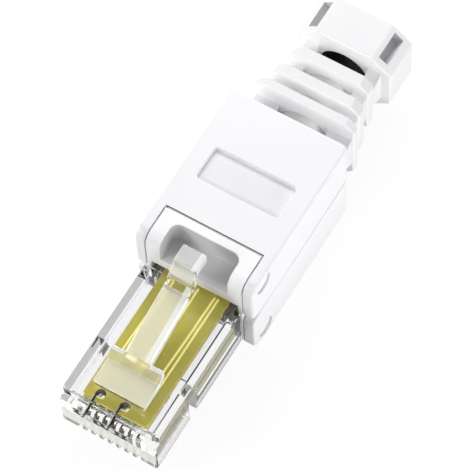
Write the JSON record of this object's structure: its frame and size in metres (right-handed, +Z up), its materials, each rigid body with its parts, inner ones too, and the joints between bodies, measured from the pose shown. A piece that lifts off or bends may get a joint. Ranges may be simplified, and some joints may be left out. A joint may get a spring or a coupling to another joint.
{
  "type": "field termination ethernet plug",
  "caption": "Straight data plug with a clear nose and press latch, hinged half shells over the wire terminals, and a ribbed cable boot with an octagonal collar.",
  "frame": {"origin": "on the resting plane, midway along the length and across the width", "axes": "+Y from the clear nose to the boot's collar, +X across the plug, +Z up towards the latch"},
  "size_m": [0.0142, 0.0538, 0.0156],
  "materials": {
    "clear_plastic": "polished clear polycarbonate",
    "shell_plastic": "smooth white moulding",
    "frame_plastic": "smooth white moulding",
    "boot_plastic": "soft white moulding",
    "inner_plastic": "plain white moulding",
    "board_laminate": "olive solder mask",
    "contact_gold": "gold plated",
    "terminal_tin": "tinned"
  },
  "bodies": {
    "chassis": {"plug_frame": "frame_plastic", "plug_nose": "clear_plastic", "circuit_board": "board_laminate", "contact_1": "contact_gold", "contact_2": "contact_gold", "contact_3": "contact_gold", "contact_4": "contact_gold", "contact_5": "contact_gold", "contact_6": "contact_gold", "contact_7": "contact_gold", "contact_8": "contact_gold", "upper_terminal_block": "inner_plastic", "lower_terminal_block": "inner_plastic", "wire_terminal_1": "terminal_tin", "wire_terminal_2": "terminal_tin", "wire_terminal_3": "terminal_tin", "wire_terminal_4": "terminal_tin", "wire_terminal_5": "terminal_tin", "wire_terminal_6": "terminal_tin", "wire_terminal_7": "terminal_tin", "wire_terminal_8": "terminal_tin", "wire_manager": "inner_plastic", "strain_relief_boot": "boot_plastic"},
    "latch_tongue": {"latch": "clear_plastic"},
    "upper_cover": {"upper_shell": "shell_plastic"},
    "lower_cover": {"lower_shell": "shell_plastic"}
  },
  "joints": [
    {"name": "latch_press", "type": "hinge", "parent": "chassis", "child": "latch_tongue", "pos_m": [0, -0.02295, 0.0089], "axis": [-1, 0, 0], "range_deg": [0, 10], "stiffness_Nm_per_rad": 0.05},
    {"name": "upper_shell_hinge", "type": "hinge", "parent": "chassis", "child": "upper_cover", "pos_m": [0, -0.00695, 0.012], "axis": [1, 0, 0], "range_deg": [0, 60]},
    {"name": "lower_shell_hinge", "type": "hinge", "parent": "chassis", "child": "lower_cover", "pos_m": [0, -0.00695, 0.0017], "axis": [-1, 0, 0], "range_deg": [0, 60]}
  ]
}
